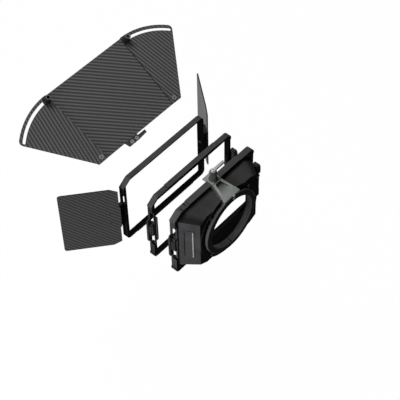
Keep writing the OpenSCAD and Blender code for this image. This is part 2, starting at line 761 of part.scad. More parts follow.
module foot_screws() {
  color("#8f9092") on_flag() {
    for (u = [12, 20.8]) translate([-u, 130.4, panel_top + 1.3]) cap_screw(1.2, 2.6, 2.7, 1.68);
    for (u = [12, 20.8]) translate([-u, panel_v + 5, panel_top - 4]) {
      cylinder(h = 3.28, r = 1.2, $fn = 32);
      cylinder(h = 0.6, r = 2.1, $fn = 32);
    }
  }
}

// A point at distance r and angle a from straight ahead
function polar(r, a) = [r * sin(a), r * cos(a)];

// Outline of a wing around its pivot, drawn for the side where u is positive
module wing_outline() {
  out = nut_a + wing_fold;
  difference() {
    union() {
      intersection() {
        circle(r = wing_r, $fn = 180);
        polygon([
          [-7.1, -5.5], [8.3, -5.7], polar(wing_r - 5.57, out + 2.26), polar(wing_r, out - 1.14),
          polar(1.6 * wing_r, out - 1.14), [1.5, 1.2 * wing_r]
        ]);
      }
      translate(polar(wing_r - 6, out - 1.13)) circle(6);
    }
    circle(pivot_r + pin_fit);
    intersection() {
      difference() {
        circle(r = slot_r + 2, $fn = 180);
        circle(r = slot_r - 2, $fn = 180);
      }
      polygon([
        [0, 0], polar(1.4 * slot_r, nut_a), polar(1.4 * slot_r, nut_a + wing_fold / 2), polar(1.4 * slot_r, out)
      ]);
    }
    for (a = [nut_a, out]) translate(polar(slot_r, a)) circle(2);
  }
}

module wing(s) {
  color("#47484a") on_flag() mirror([s > 0 ? 1 : 0, 0, 0])
    translate([pivot_u, pivot_v, wing_w0]) linear_extrude(sheet_t) wing_outline();
}

module wing_left() { wing(1); }

module wing_right() { wing(-1); }

// Hollow rivets that the wings turn on
module pivot_rivets() {
  color("#a2a3a5") on_flag() for (s = [-1, 1]) translate([s * pivot_u, pivot_v, 0]) difference() {
    union() {
      translate([0, 0, panel_top - 2.6]) cylinder(h = 0.6, r = 3.3, $fn = 48);
      translate([0, 0, panel_top - 2.1]) cylinder(h = sheet_t + 2.6, r = pivot_r);
      translate([0, 0, sheet_t + 0.05]) cylinder(h = 0.9, r = 3.3, $fn = 48);
    }
    translate([0, 0, panel_top - 5]) cylinder(h = 12, r = pivot_r - 0.8, $fn = 48);
  }
}

module nut_studs() {
  color("#a2a3a5") on_flag() for (s = [-1, 1]) translate([s * nut_u, nut_v, 0]) {
    translate([0, 0, panel_top - 3.2]) cylinder(h = 1.2, r = 3.4, $fn = 48);
    translate([0, 0, panel_top - 2.1]) cylinder(h = 8, r = 1.7, $fn = 48);
  }
}

// Tall thumb nut: lobed skirt, round neck and an open end
module thumb_nut(s) {
  color("#161617") on_flag() translate([-s * nut_u, nut_v, sheet_t + 0.05]) difference() {
    union() {
      cylinder(h = 3.4, r = 5.6);
      cylinder(h = nut_h, r = 3.9);
    }
    for (a = [0:45:315]) rotate([0, 0, a + 10]) translate([6.6, 0, -1]) cylinder(h = 5, r = 1.7, $fn = 32);
    translate([0, 0, -1]) cylinder(h = nut_h + 2, r = 1.7 + pin_fit);
    translate([0, 0, nut_h - 4.6]) cylinder(h = 6, r = 2.7);
  }
}

module thumb_nut_left() { thumb_nut(1); }

module thumb_nut_right() { thumb_nut(-1); }

body_flange();
hood_shell();
rear_plate();
side_plate_left();
side_plate_right();
lens_ring();
light_seal();
ring_screws();
flange_screws();
holder_bracket();
bracket_screws();
ring_catch();
lever_hub();
lever_arm();
lever_screw();
body_latch();
body_latch_pin();
body_catch();
body_catch_screws();
body_toggle();
body_toggle_pin();
stage_frame();
guide_left();
guide_right();
guide_screws();
stage_latch();
stage_latch_pin();
stage_catch();
stage_catch_screws();
stage_toggle();
stage_toggle_pin();
front_frame();
hinge_block_left();
hinge_block_right();
hinge_pin_left();
hinge_pin_right();
hinge_screws();
side_flag_left();
side_flag_right();
flag_clip_left();
flag_clip_right();
clip_rivets_left();
clip_rivets_right();
flag_panel();
flag_foot();
foot_screws();
wing_left();
wing_right();
pivot_rivets();
nut_studs();
thumb_nut_left();
thumb_nut_right();
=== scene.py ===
# Matte box for 4 x 5.65 inch filters, drawn apart along the lens axis: finishes, fine detail and studio.
# Metres. The lens axis is Y, the scene side is -Y, Z is up and +X is the operator's left.
import math

import bpy
import bmesh
from mathutils import Matrix, Vector


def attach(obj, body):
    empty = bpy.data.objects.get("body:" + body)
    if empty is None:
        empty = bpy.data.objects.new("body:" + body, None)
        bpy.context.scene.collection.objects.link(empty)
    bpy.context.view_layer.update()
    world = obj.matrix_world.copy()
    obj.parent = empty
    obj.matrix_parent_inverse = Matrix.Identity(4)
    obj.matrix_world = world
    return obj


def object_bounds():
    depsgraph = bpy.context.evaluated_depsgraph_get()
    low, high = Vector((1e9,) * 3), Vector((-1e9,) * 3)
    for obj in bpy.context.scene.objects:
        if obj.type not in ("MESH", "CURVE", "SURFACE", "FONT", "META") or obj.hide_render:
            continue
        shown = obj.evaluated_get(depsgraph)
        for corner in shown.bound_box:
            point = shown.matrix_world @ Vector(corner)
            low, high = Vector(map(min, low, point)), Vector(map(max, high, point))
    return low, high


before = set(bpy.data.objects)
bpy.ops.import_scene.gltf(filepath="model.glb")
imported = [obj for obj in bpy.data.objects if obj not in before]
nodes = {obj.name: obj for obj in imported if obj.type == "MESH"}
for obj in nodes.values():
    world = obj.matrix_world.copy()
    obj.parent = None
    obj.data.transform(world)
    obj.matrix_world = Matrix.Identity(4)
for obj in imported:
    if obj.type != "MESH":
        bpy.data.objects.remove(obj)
cad_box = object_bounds()


# Flange and stage frames
# Milled from aluminium plate, bead blasted and hard anodised black. The tool breaks every edge by about
# a quarter of a millimetre, and the anodising wears through a little along those edges.

FRAME_EDGE = 0.00028
ANODISED_BLACK = (0.05, 0.05, 0.052)
# Painted light: the flange has the frames' own black anodising, drawn a little lighter
LIT_FLANGE_BLACK = (0.06, 0.06, 0.062)
WORN_EDGE = (0.13, 0.13, 0.132)


def node_tools(tree):
    """Two short ways to work on a node tree: one adds a node, one joins two sockets"""
    def add(kind, **settings):
        made = tree.nodes.new(kind)
        for key, value in settings.items():
            setattr(made, key, value)
        return made

    return add, tree.links.new


def new_material(name):
    """An empty material, its shader and the tools for its nodes"""
    material = bpy.data.materials.new(name)
    material.use_nodes = True
    return material, material.node_tree.nodes["Principled BSDF"], *node_tools(material.node_tree)


def math_node(add, link, operation, *inputs):
    """A math node whose inputs are sockets or plain numbers"""
    made = add("ShaderNodeMath", operation=operation)
    for place, value in enumerate(inputs):
        if isinstance(value, (int, float)):
            made.inputs[place].default_value = value
        else:
            link(value, made.inputs[place])
    return made.outputs[0]


def blend_colour(add, link, share, first, second):
    """A colour between two, by a share from 0 to 1"""
    made = add("ShaderNodeMix", data_type="RGBA")
    link(share, made.inputs["Factor"])
    for socket, value in (("A", first), ("B", second)):
        place = next(s for s in made.inputs if s.name == socket and s.type == "RGBA")
        if isinstance(value, tuple):
            place.default_value = (*value, 1)
        else:
            link(value, place)
    return next(s for s in made.outputs if s.type == "RGBA")


def spread(add, link, value, low, high, to_low=0.0, to_high=1.0):
    """Stretches a value from one range to another and stops at its ends"""
    made = add("ShaderNodeMapRange", clamp=True)
    link(value, made.inputs["Value"])
    for key, number in (("From Min", low), ("From Max", high), ("To Min", to_low), ("To Max", to_high)):
        made.inputs[key].default_value = number
    return made.outputs["Result"]


def grain(add, link, size, detail):
    """Noise whose lumps are about size metres across, laid in the part's own frame"""
    place = add("ShaderNodeTexCoord")
    noise = add("ShaderNodeTexNoise")
    link(place.outputs["Object"], noise.inputs["Vector"])
    noise.inputs["Scale"].default_value = 1 / size
    noise.inputs["Detail"].default_value = detail
    return noise.outputs["Fac"]


def edge_mask(add, link, radius):
    """Near 1 within a radius of an edge, where the rounded normal leaves the flat one"""
    rounded = add("ShaderNodeBevel", samples=6)
    rounded.inputs["Radius"].default_value = radius
    flat = add("ShaderNodeNewGeometry")
    along = add("ShaderNodeVectorMath", operation="DOT_PRODUCT")
    link(rounded.outputs["Normal"], along.inputs[0])
    link(flat.outputs["Normal"], along.inputs[1])
    return spread(add, link, along.outputs["Value"], 0.995, 0.85)


def surface_bump(add, link, shader, height, depth, strength=1.0):
    """Bumps the shader's normal by a height that is depth metres deep"""
    made = add("ShaderNodeBump")
    made.inputs["Strength"].default_value = strength
    made.inputs["Distance"].default_value = depth
    link(height, made.inputs["Height"])
    link(made.outputs["Normal"], shader.inputs["Normal"])


def facing(add, link, axis):
    """How squarely the surface faces along an axis of the part's own frame, from 0 to 1"""
    place = add("ShaderNodeTexCoord")
    along = add("ShaderNodeVectorMath", operation="DOT_PRODUCT")
    link(place.outputs["Normal"], along.inputs[0])
    along.inputs[1].default_value = axis
    return math_node(add, link, "ABSOLUTE", along.outputs["Value"])


def inner_black(add, link):
    """Near 0.1 on faces that look in towards the lens axis, and 1 elsewhere"""
    place = add("ShaderNodeTexCoord")
    inward = add("ShaderNodeVectorMath", operation="MULTIPLY")
    link(place.outputs["Object"], inward.inputs[0])
    inward.inputs[1].default_value = (1, 0, 1)
    along = add("ShaderNodeVectorMath", operation="DOT_PRODUCT")
    link(inward.outputs[0], along.inputs[0])
    link(place.outputs["Normal"], along.inputs[1])
    return spread(add, link, along.outputs["Value"], -0.02, -0.006, 0.1, 1.0)


def axis_faces_painted_shade(add, link):
    """Painted shade: darker on faces square to the lens axis"""
    return spread(add, link, facing(add, link, (0, 1, 0)), 0.6, 0.95, 1.0, 0.3)


def frame_shade(side_shade_level):
    """Darker inside, with painted shade on the faces square to the lens axis and on the side faces, to a
    level set for each frame
    """
    def shade(add, link):
        sides = spread(add, link, facing(add, link, (1, 0, 0)), 0.6, 0.95, 1.0, side_shade_level)
        sides = math_node(add, link, "MULTIPLY", sides, axis_faces_painted_shade(add, link))
        return math_node(add, link, "MULTIPLY", sides, inner_black(add, link))
    return shade


def blasted_finish(name, colour, worn_and_lit_edge, roughness=0.5, specular=0.002, bead=0.00035, edge_wear_and_light=0.5,
                   shade=None, edge_reach=0.0005):
    """Blasted or moulded surface: fine bead texture, slow changes of tone, and lighter worn edges, which on
    the holder are drawn bright enough to be a painted highlight as well
    """
    material, shader, add, link = new_material(name)
    fine = grain(add, link, bead, 2)
    cloudy = grain(add, link, 0.02, 4)
    speckle = spread(add, link, grain(add, link, 0.0011, 3), 0.3, 0.7, 0.9, 1.1)
    dark = tuple(c * 0.86 for c in colour)
    light = tuple(min(1, c * 1.14) for c in colour)
    tone = blend_colour(add, link, spread(add, link, cloudy, 0.35, 0.65), dark, light)
    level = math_node(add, link, "MULTIPLY", speckle, shade(add, link)) if shade else speckle
    toned = add("ShaderNodeVectorMath", operation="SCALE")
    link(tone, toned.inputs[0])
    link(level, toned.inputs["Scale"])
    edge_wear_and_highlight = math_node(add, link, "MULTIPLY", edge_mask(add, link, edge_reach),
                       spread(add, link, grain(add, link, 0.004, 5), 0.35, 0.7, 0.15, edge_wear_and_light))
    link(blend_colour(add, link, edge_wear_and_highlight, toned.outputs[0], worn_and_lit_edge), shader.inputs["Base Color"])
    link(spread(add, link, cloudy, 0.3, 0.7, roughness - 0.05, roughness + 0.07), shader.inputs["Roughness"])
    shader.inputs["Specular IOR Level"].default_value = specular
    surface_bump(add, link, shader, fine, bead * 0.12)
    return material


BROKEN_EDGE_ANGLE = math.radians(28)
FLAT_ANGLE = math.radians(0.4)


def dress(name, material, edge):
    """Gives a machined or moulded piece its finish and breaks its edges"""
    piece = nodes[name]
    for place in piece.material_slots:
        place.material = material
    weld = piece.modifiers.new("weld", "WELD")
    weld.merge_threshold = 2e-6
    merge = piece.modifiers.new("merge", "DECIMATE")
    merge.decimate_type = "DISSOLVE"
    merge.angle_limit = FLAT_ANGLE
    bevel = piece.modifiers.new("edge", "BEVEL")
    bevel.width = edge
    bevel.segments = 2
    bevel.limit_method = "ANGLE"
    bevel.angle_limit = BROKEN_EDGE_ANGLE
    bevel.use_clamp_overlap = True
    bevel.harden_normals = False
    bevel.miter_outer = "MITER_ARC"
    smooth = piece.modifiers.new("smooth", "WEIGHTED_NORMAL")
    smooth.keep_sharp = False


# Painted shade: the last number darkens each frame's side faces, most on the front frame
FRAMES = {
    "body_flange": (LIT_FLANGE_BLACK, 0.82),
    "stage_frame": (ANODISED_BLACK, 0.6),
    "front_frame": (ANODISED_BLACK, 0.42),
}
for name, (colour, side_shade_level) in FRAMES.items():
    finish = blasted_finish("black anodised " + name.replace("_", " "), colour, WORN_EDGE, roughness=0.48,
                            shade=frame_shade(side_shade_level))
    dress(name, finish, FRAME_EDGE)


# Ends of the raised plates on the top bars, with painted shadow
# The raised plate stops short of the grip ribs, and the shadow of the step at its end is painted as a thin
# black strip.

LOW_BAR_TOP = 56.15
STEP_SHADOW_WIDTH = 0.6


def mesh_piece(name, body, material, build, edge=0.0):
    """A fine piece made in mesh code, which rides with a body and has its edges broken"""
    shape = bmesh.new()
    build(shape)
    bmesh.ops.remove_doubles(shape, verts=shape.verts, dist=1e-7)
    bmesh.ops.recalc_face_normals(shape, faces=shape.faces)
    mesh = bpy.data.meshes.new(name)
    shape.to_mesh(mesh)
    shape.free()
    mesh.materials.append(material)
    piece = bpy.data.objects.new(name, mesh)
    bpy.context.scene.collection.objects.link(piece)
    if edge:
        bevel = piece.modifiers.new("edge", "BEVEL")
        bevel.width = edge
        bevel.segments = 2
        bevel.limit_method = "ANGLE"
        bevel.angle_limit = math.radians(30)
    smooth = piece.modifiers.new("smooth", "WEIGHTED_NORMAL")
    smooth.keep_sharp = False
    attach(piece, body)


def block(shape, corners):
    """A block from its eight corners: four below, then the four above them"""
    verts = [shape.verts.new(c) for c in corners]
    for face in ((0, 1, 2, 3), (4, 5, 6, 7), (0, 1, 5, 4), (1, 2, 6, 5), (2, 3, 7, 6), (3, 0, 4, 7)):
        shape.faces.new([verts[i] for i in face])


def straight_block(shape, low, high):
    """A block along the axes, from its two far corners in millimetres"""
    corners = [Vector((x, y, z)) / 1000 for z in (low[2], high[2]) for x, y in (
        (low[0], low[1]), (high[0], low[1]), (high[0], high[1]), (low[0], high[1]))]
    block(shape, corners)


# Painted shadow: a thin black strip along the foot of each raised plate's end
step_shadow_black = blasted_finish("painted step shadow", (0.006, 0.006, 0.006), (0.01, 0.01, 0.01), roughness=0.8)
for name, body, x, front, rear in (("stage_plate_step_shadow", "filter_stage", 44.9, -75.3, -67.8),
                                   ("flange_plate_step_shadow", "body", 47.9, -37.9, -29.1)):
    low = (x, front, LOW_BAR_TOP - 0.1)
    high = (x + STEP_SHADOW_WIDTH, rear, LOW_BAR_TOP + 0.1)
    mesh_piece(name, body, step_shadow_black, lambda shape: straight_block(shape, low, high))


# Tapered hood, rear plate and filter guides
# Moulded in glass-filled nylon with a fine spark-eroded texture. The rear plate is screwed to the wall.

HOOD_BLACK = (0.066, 0.066, 0.069)


def hood_shade(add, link):
    """Painted light and shade: the roof and floor drawn darker than the sides, the corner facets darkest,
    darker still on faces square to the lens axis, and darker inside
    """
    side, roof = facing(add, link, (1, 0, 0)), facing(add, link, (0, 0, 1))
    corner = spread(add, link, math_node(add, link, "MULTIPLY", side, roof), 0.12, 0.26)
    flat = spread(add, link, roof, 0.3, 0.9, 1.0, 0.62)
    outside = math_node(add, link, "MULTIPLY", flat, spread(add, link, corner, 0, 1, 1.0, 0.38))
    outside = math_node(add, link, "MULTIPLY", outside, axis_faces_painted_shade(add, link))
    return math_node(add, link, "MULTIPLY", outside, inner_black(add, link))


hood_finish = blasted_finish("textured nylon", HOOD_BLACK, (0.11, 0.11, 0.112), roughness=0.6, bead=0.0005,
                             edge_wear_and_light=0.35, shade=hood_shade)
for name in ("hood_shell", "guide_left", "guide_right"):
    dress(name, hood_finish, 0.0003)
# Painted shade on the rear plate's faces that are square to the lens axis
plate_black = blasted_finish("rear plate nylon", (0.03, 0.03, 0.031), (0.08, 0.08, 0.08), shade=axis_faces_painted_shade)
dress("rear_plate", plate_black, 0.0003)


# Insert plates on the sides of the hood
# Smooth satin plates set flush in a pocket. A light strip along each plate's rear edge is a painted
# highlight, and a thin black strip in the groove along its front edge is painted shadow.

plate_finish = blasted_finish("satin insert plate", (0.072, 0.072, 0.075), (0.12, 0.12, 0.12), roughness=0.42,
                              bead=0.0002, edge_wear_and_light=0.3)
# Painted highlight: a light strip laid along the rear edge of each insert plate
edge_highlight_finish = blasted_finish("painted edge highlight", (0.41, 0.41, 0.415), (0.55, 0.55, 0.55), roughness=0.35,
                              specular=0.3, bead=0.0002)
# Painted shadow: a thin black strip in the groove at the front edge of each insert plate
groove_shadow_finish = blasted_finish("painted groove shadow", (0.008, 0.008, 0.008), (0.02, 0.02, 0.02), roughness=0.8)
SIDE_TURN = math.atan2(15.3, 23)
SIDE_FRONT = (71, -29)
INLAY_HALF = 24.9
STRIP_ALONG, STRIP_OUT = (17.45, 18.75), (0.21, 0.54)
GROOVE_ALONG, GROOVE_OUT = (6.95, 7.75), (0.01, 0.14)


def on_side(side, along, up, out):
    """A point on the hood's side: millimetres back along the taper, up, and out of the face"""
    x = SIDE_FRONT[0] + out * math.cos(SIDE_TURN) - along * math.sin(SIDE_TURN)
    y = SIDE_FRONT[1] + out * math.sin(SIDE_TURN) + along * math.cos(SIDE_TURN)
    return Vector((side * x, y, up)) / 1000


def inlay(shape, side, along, out):
    """A straight strip on the hood's side, between two places along the taper and two heights above it"""
    start, end = along
    ends = ((start, -INLAY_HALF), (end, -INLAY_HALF), (end, INLAY_HALF), (start, INLAY_HALF))
    block(shape, [on_side(side, back, up, height) for height in out for back, up in ends])


for name, side in (("side_plate_left", 1), ("side_plate_right", -1)):
    dress(name, plate_finish, 0.0002)

    def strip(shape):
        inlay(shape, side, STRIP_ALONG, STRIP_OUT)

    def groove(shape):
        inlay(shape, side, GROOVE_ALONG, GROOVE_OUT)

    mesh_piece(name + "_highlight_strip", "body", edge_highlight_finish, strip, edge=0.00015)
    mesh_piece(name + "_groove_shadow", "body", groove_shadow_finish, groove)


# Lens clamp and light seal
# The split ring is turned from aluminium and anodised, so fine tool rings run round it. The seal is rubber.

TOOL_RINGS = 9000.0


def turned_shade(add, link):
    """Tool rings round the bore, and painted shade on the end faces, which leaves the turned outside lighter
    as a painted highlight
    """
    place = add("ShaderNodeTexCoord")
    parts = add("ShaderNodeSeparateXYZ")
    link(place.outputs["Object"], parts.inputs[0])
    rings = math_node(add, link, "SINE", math_node(add, link, "MULTIPLY", parts.outputs["Y"], TOOL_RINGS))
    rings = spread(add, link, rings, -1, 1, 0.9, 1.1)
    # Painted shade: the end faces drawn far darker than the outside
    ends = spread(add, link, facing(add, link, (0, 1, 0)), 0.3, 0.8, 1.0, 0.1)
    return math_node(add, link, "MULTIPLY", rings, ends)


ring_finish = blasted_finish("turned black ring", (0.085, 0.085, 0.088), (0.16, 0.16, 0.16), roughness=0.4,
                             specular=0.004, shade=turned_shade)
dress("lens_ring", ring_finish, 0.0003)
seal_finish = blasted_finish("seal rubber", (0.016, 0.016, 0.016), (0.02, 0.02, 0.02), roughness=0.85)
dress("light_seal", seal_finish, 0.0003)


# Flag holder and its clamping lever
# Blasted aluminium, hard anodised grey-green, with brighter edges where the finish is thin and a painted
# highlight along them. The arm follows the hood's roof and is held by two screws.

HOLDER_GREY = (0.19, 0.204, 0.191)
ARM_TOP = Vector((0, -0.026, 0.0604))
ARM_SLOPE = math.atan2(9, 25.4)
DISH_DEPTH = 0.0045
HEAD_STARTS = (0.0578, 0.0586)
arm_out = Vector((0, math.sin(ARM_SLOPE), math.cos(ARM_SLOPE)))


def holder_shade(add, link):
    """Painted light and shade: lighter on the head and where the arm faces up, darker on the sides of the arm
    and down in its dish
    """
    place = add("ShaderNodeTexCoord")
    depth = add("ShaderNodeVectorMath", operation="DOT_PRODUCT")
    link(place.outputs["Object"], depth.inputs[0])
    depth.inputs[1].default_value = arm_out
    parts = add("ShaderNodeSeparateXYZ")
    link(place.outputs["Object"], parts.inputs[0])
    level = ARM_TOP.dot(arm_out)
    # Painted shade down in the dish, and painted light on the head
    dish = spread(add, link, depth.outputs["Value"], level - DISH_DEPTH, level - 0.0002, 0.62, 1.1)
    head = spread(add, link, parts.outputs["Z"], *HEAD_STARTS, 0.0, 1.15)
    side = spread(add, link, facing(add, link, (0, 0, 1)), 0.2, 0.9, 0.42, 1.0)
    return math_node(add, link, "MULTIPLY", side, math_node(add, link, "MAXIMUM", dish, head))


# Worn edges and painted highlight: the bright edge colour and wide reach paint the light caught along the
# edges
holder_finish = blasted_finish("grey anodised holder", HOLDER_GREY, (0.56, 0.59, 0.56), roughness=0.42,
                               specular=0.12, edge_wear_and_light=1.0, shade=holder_shade, edge_reach=0.0009)
for name in ("holder_bracket", "ring_catch"):
    dress(name, holder_finish, 0.00045)
knob_finish = blasted_finish("dark turned knob", (0.05, 0.052, 0.051), (0.3, 0.3, 0.3), roughness=0.35,
                             specular=0.06)
dress("lever_hub", knob_finish, 0.00035)
lever_finish = blasted_finish("pale lever", (0.4, 0.41, 0.4), (0.6, 0.6, 0.6), roughness=0.4, specular=0.2)
dress("lever_arm", lever_finish, 0.0004)


def arm_point(x, y, out):
    """A point over the arm's sloping top: millimetres across, along the lens axis, and out of the face"""
    return Vector((x, y, 60.4 - (y + 26) * math.tan(ARM_SLOPE))) / 1000 + arm_out * out / 1000


DISH_FRONT, DISH_REAR = -24.4, -9.7
DISH_HALF, DISH_REAR_HALF = 5.6, 9.3
DISH_CORNER = 2
RIM_WIDTH = 0.8


def dish_rim_highlight(shape):
    """A fine raised rim that follows the front and both sides of the dish, a painted highlight along its edge
    """
    centre_x, centre_y = DISH_HALF - DISH_CORNER, DISH_FRONT + DISH_CORNER
    right = [(DISH_REAR_HALF, DISH_REAR), (DISH_HALF, centre_y)]
    for k in range(1, 6):
        a = math.radians(15 * k)
        right.append((centre_x + DISH_CORNER * math.cos(a), centre_y - DISH_CORNER * math.sin(a)))
    right.append((centre_x, DISH_FRONT))
    path = [(-x, y) for x, y in right] + right[::-1]
    rows = []
    for place, point in enumerate(path):
        before, after = path[max(0, place - 1)], path[min(len(path) - 1, place + 1)]
        along = Vector((after[0] - before[0], after[1] - before[1])).normalized()
        outer = (point[0] + along.y * RIM_WIDTH, point[1] - along.x * RIM_WIDTH)
        rows.append([shape.verts.new(arm_point(*spot, out)) for spot, out in (
            (point, -0.05), (outer, -0.05), (outer, 0.03), (point, 0.14))])
    for here, there in zip(rows, rows[1:]):
        for i in range(4):
            j = (i + 1) % 4
            shape.faces.new((here[i], here[j], there[j], there[i]))
    shape.faces.new(rows[0])
    shape.faces.new(rows[-1])


# Painted highlight: a bright bead laid round the dish where its edge catches the light
rim_highlight_finish = blasted_finish("painted holder rim highlight", (0.36, 0.38, 0.36), (0.5, 0.52, 0.5), roughness=0.35,
                            specular=0.2)
mesh_piece("holder_dish_rim_highlight", "body", rim_highlight_finish, dish_rim_highlight)


CLAMP_Y = -31.6
LEVER_TOP = 79.0
SHADOW_RING_IN, SHADOW_RING_OUT = 2.55, 3.05


def at_clamp(x, y, z):
    """A point near the clamp screw: millimetres from its axis, and above the top of the lever"""
    return Vector((x, CLAMP_Y + y, LEVER_TOP + z)) / 1000


def prism(shape, outline, low, high):
    """An upright prism on the clamp screw's axis, from an outline in millimetres"""
    rows = [[shape.verts.new(at_clamp(x, y, z)) for x, y in outline] for z in (low, high)]
    count = len(outline)
    for i in range(count):
        j = (i + 1) % count
        shape.faces.new((rows[0][i], rows[0][j], rows[1][j], rows[1][i]))
    shape.faces.new(rows[0])
    shape.faces.new(rows[1])


def shadow_ring(shape):
    """A black ring round the screw head, painted shadow in the gap under it"""
    steps = 48
    circle = [(math.cos(2 * math.pi * k / steps), math.sin(2 * math.pi * k / steps)) for k in range(steps)]
    section = ((SHADOW_RING_IN, -0.1), (SHADOW_RING_OUT, -0.1), (SHADOW_RING_OUT, 0.12), (SHADOW_RING_IN, 0.12))
    rows = [[shape.verts.new(at_clamp(x * radius, y * radius, z)) for x, y in circle]
            for radius, z in section]
    for here, there in zip(rows, rows[1:] + rows[:1]):
        for i in range(steps):
            j = (i + 1) % steps
            shape.faces.new((here[i], here[j], there[j], there[i]))


socket_shadow_black = blasted_finish("painted socket shadow", (0.012, 0.012, 0.012), (0.03, 0.03, 0.03), roughness=0.6)
# Painted shade: a black star set in the lever screw's socket, where the recess is in shade
star = [(radius * math.cos(math.radians(30 * k)), radius * math.sin(math.radians(30 * k)))
        for k, radius in enumerate([1.0, 0.62] * 6)]
mesh_piece("lever_screw_socket_shadow", "clamp_lever", socket_shadow_black,
           lambda shape: prism(shape, star, 0.42, 1.0))
# Painted shadow: a black ring round the lever's screw head
mesh_piece("lever_shadow_ring", "clamp_lever", socket_shadow_black, shadow_ring)


# Screws, pins and rivets
# Stainless steel where it shows bright, and black oxide elsewhere. Their edges are only just broken.

SCREW_EDGE = 0.00012
steel_finish = blasted_finish("satin steel", (0.15, 0.15, 0.153), (0.34, 0.34, 0.34), roughness=0.35,
                              specular=0.3, bead=0.0002)
bright_steel = blasted_finish("bright steel", (0.62, 0.62, 0.62), (0.75, 0.75, 0.75), roughness=0.3,
                              specular=0.5, bead=0.0002)
black_steel = blasted_finish("black oxide steel", (0.035, 0.035, 0.036), (0.12, 0.12, 0.12), roughness=0.38,
                             specular=0.05)
for name in ("bracket_screws", "pivot_rivets", "nut_studs"):
    dress(name, steel_finish, SCREW_EDGE)
foot_steel = blasted_finish("turned steel", (0.23, 0.23, 0.235), (0.4, 0.4, 0.4), roughness=0.35,
                            specular=0.3, bead=0.0002)
dress("foot_screws", foot_steel, SCREW_EDGE)
dress("lever_screw", bright_steel, 0.0002)
for name in ("flange_screws", "ring_screws", "hinge_screws", "guide_screws", "body_catch_screws",
             "stage_catch_screws", "clip_rivets_left", "clip_rivets_right", "body_latch_pin",
             "stage_latch_pin", "body_toggle_pin", "stage_toggle_pin", "hinge_pin_left", "hinge_pin_right"):
    dress(name, black_steel, SCREW_EDGE)


# Latches, toggles and hinges
# Levers, catches and toggles are moulded in black glass-filled nylon, and the hinge blocks and flag clips
# in acetal, which is blacker and a little smoother.

latch_finish = blasted_finish("latch nylon", (0.045, 0.045, 0.047), (0.1, 0.1, 0.1), roughness=0.5, edge_wear_and_light=0.4)
for name in ("body_latch", "stage_latch", "body_catch", "stage_catch", "body_toggle", "stage_toggle"):
    dress(name, latch_finish, 0.0003)
hinge_finish = blasted_finish("hinge acetal", (0.018, 0.018, 0.019), (0.05, 0.05, 0.05), roughness=0.45)
for name in ("hinge_block_left", "hinge_block_right", "flag_clip_left", "flag_clip_right"):
    dress(name, hinge_finish, 0.0003)


# Thumb nuts
# Moulded in black plastic, on studs that run in the arc slots of the wings. A lighter ring round the open end
# is a painted highlight.

nut_finish = blasted_finish("nut plastic", (0.014, 0.014, 0.014), (0.07, 0.07, 0.07), roughness=0.3,
                            specular=0.05)
# Painted highlight: a lighter ring laid round each nut's open end
nut_rim_highlight_finish = blasted_finish("painted nut rim highlight", (0.13, 0.13, 0.131), (0.25, 0.25, 0.25), roughness=0.35,
                            specular=0.1)
FLAG_TILT = math.radians(28.5)
flag_across = Vector((1, 0, 0))
flag_up = Vector((0, -math.cos(FLAG_TILT), math.sin(FLAG_TILT)))
flag_out = Vector((0, math.sin(FLAG_TILT), math.cos(FLAG_TILT)))
FLAG_EDGE = Vector((0, -0.15575, 0.06542))


def on_flag(u, v, w):
    """A point on the top flag: millimetres across, ahead of its rear edge, and above its wings' underside"""
    return FLAG_EDGE + (flag_across * u + flag_up * v + flag_out * w) / 1000


def turned(shape, centre, profile, steps=64):
    """Turns a closed outline of radius and height round an axis square to the top flag"""
    rings = []
    for step in range(steps):
        a = 2 * math.pi * step / steps
        radial = flag_across * math.cos(a) + flag_up * math.sin(a)
        rings.append([shape.verts.new(centre + (radial * r + flag_out * h) / 1000) for r, h in profile])
    for step in range(steps):
        here, there = rings[step], rings[(step + 1) % steps]
        for i in range(len(profile)):
            j = (i + 1) % len(profile)
            shape.faces.new((here[i], here[j], there[j], there[i]))


NUT_PLACE = (73.897, 105.904, 12.65)
HIGHLIGHT_RING_OUTLINE = [
    (2.3, -3.2), (2.69, -3.2), (2.69, -0.1), (3.3, -0.1), (3.3, 0.02), (3.2, 0.09), (2.4, 0.09), (2.3, 0)
]
for name, side in (("left", 1), ("right", -1)):
    dress("thumb_nut_" + name, nut_finish, 0.0003)
    top = on_flag(side * NUT_PLACE[0], NUT_PLACE[1], NUT_PLACE[2])
    mesh_piece("nut_rim_highlight_" + name, "nut_" + name, nut_rim_highlight_finish,
               lambda shape: turned(shape, top, HIGHLIGHT_RING_OUTLINE))


# Carbon sheets
# 2 by 2 twill laminate, 1.6 and 2 mm thick, cut by router. Each sheet is cut at its own angle to the cloth,
# and the clear resin over it is satin.

TOW = 0.001637
# Painted sheen: both tows are the same black fibre, and the tows that show along the warp are drawn lighter
WEFT_SHEEN_LEVEL, WARP_SHEEN_LEVEL = 0.038, 0.118


def in_sheet(across, up, degrees):
    """A direction in the sheet, at an angle from across towards up"""
    turn = math.radians(degrees)
    return across * math.cos(turn) + up * math.sin(turn)


